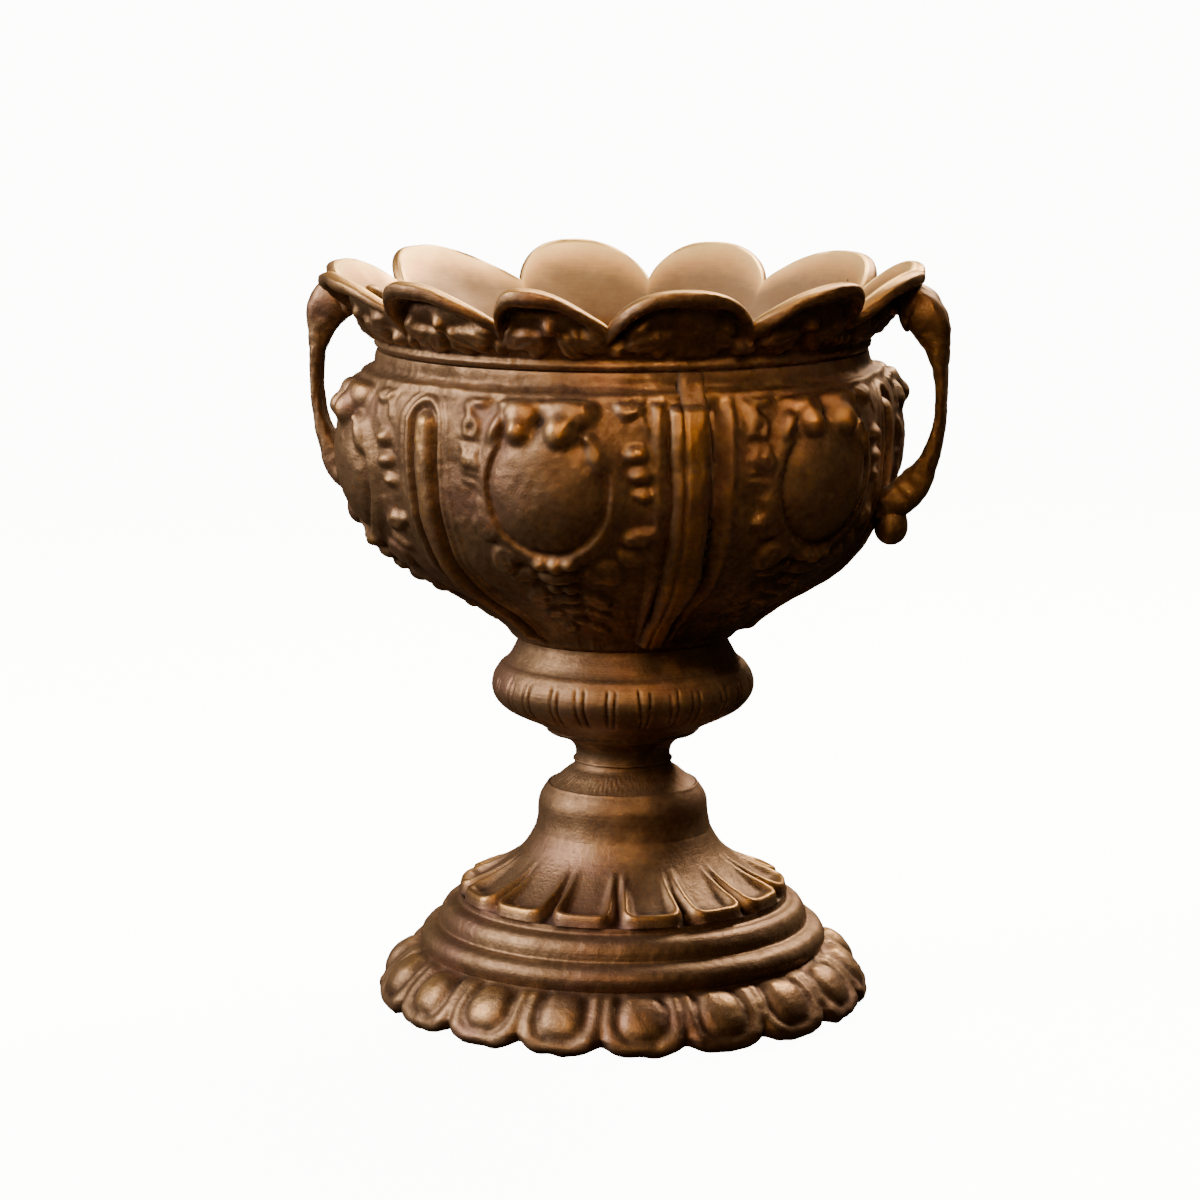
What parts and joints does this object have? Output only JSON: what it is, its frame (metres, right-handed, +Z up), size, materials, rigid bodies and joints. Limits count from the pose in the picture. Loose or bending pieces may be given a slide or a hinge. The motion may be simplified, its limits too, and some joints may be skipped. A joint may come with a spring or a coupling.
{
  "type": "pedestal urn",
  "caption": "Cast-brass pedestal urn: a lobed bowl with a flared petal rim and scroll handles, on a knop, stem and spreading egg-lobed foot.",
  "frame": {"origin": "centre of the foot on the floor, on the axis of the urn", "axes": "+Z up along the axis of the urn, +X towards the right handle, -Y towards the front"},
  "size_m": [0.2652, 0.2476, 0.3],
  "materials": {
    "brown_brass": "aged brown patina, golden where rubbed, dark in the recesses",
    "rivet_brass": "peened, dull",
    "steel": "dull, oiled"
  },
  "bodies": {
    "root": {"foot": "brown_brass", "stem": "brown_brass", "knop": "brown_brass", "bowl_half_right": "brown_brass", "bowl_half_left": "brown_brass", "seam_strap_front": "brown_brass", "seam_strap_rear": "brown_brass", "rim_crown": "brown_brass", "handle_right": "brown_brass", "handle_left": "brown_brass", "upper_rivets": "rivet_brass", "lower_rivets": "rivet_brass", "tie_rod": "steel", "foot_washer": "steel", "foot_nut": "steel", "bowl_washer": "steel", "bowl_nut": "steel"}
  },
  "joints": []
}
